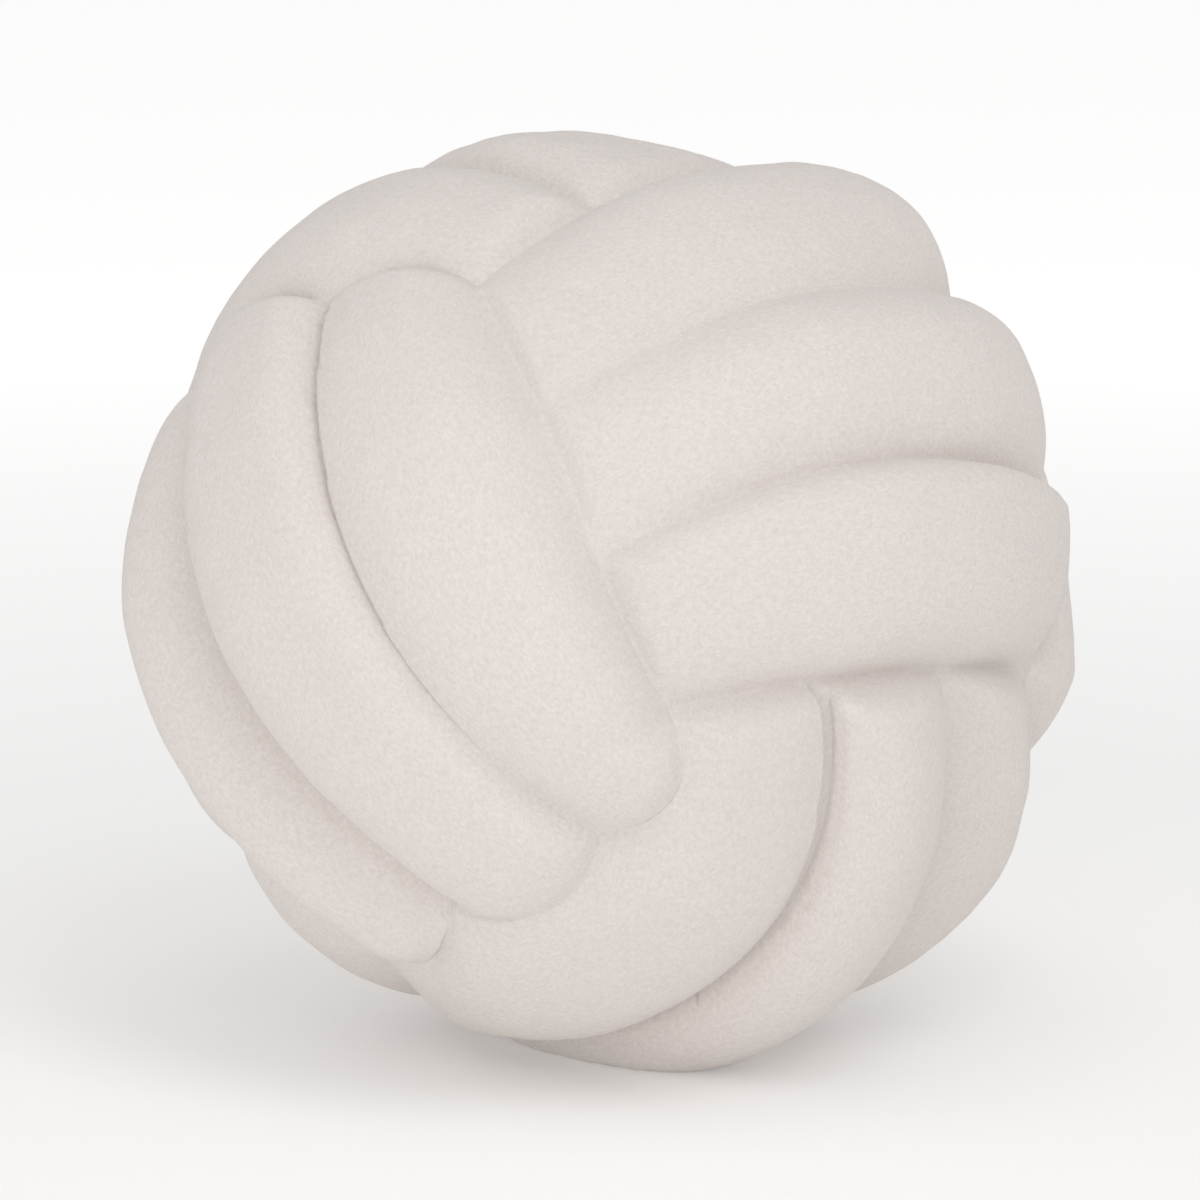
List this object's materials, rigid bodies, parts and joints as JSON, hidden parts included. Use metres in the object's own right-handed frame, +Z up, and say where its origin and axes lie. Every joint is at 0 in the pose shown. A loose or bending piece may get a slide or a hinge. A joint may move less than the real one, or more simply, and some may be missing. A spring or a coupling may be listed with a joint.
{
  "type": "knot cushion",
  "caption": "Ball cushion of one stuffed fleece tube, wound and tucked into a tight knot, with rounded strands, soft crevices and a small flat resting spot.",
  "frame": {"origin": "bottom centre of the cushion's box, on the flat spot that it rests on", "axes": "+Z up as the cushion rests; -Y towards the viewer of the picture, +X to the viewer's right"},
  "size_m": [0.2998, 0.3022, 0.2883],
  "materials": {
    "fleece": "warm off-white short-pile fleece, matt"
  },
  "bodies": {
    "root": {"knot_cushion": "fleece"}
  },
  "joints": []
}
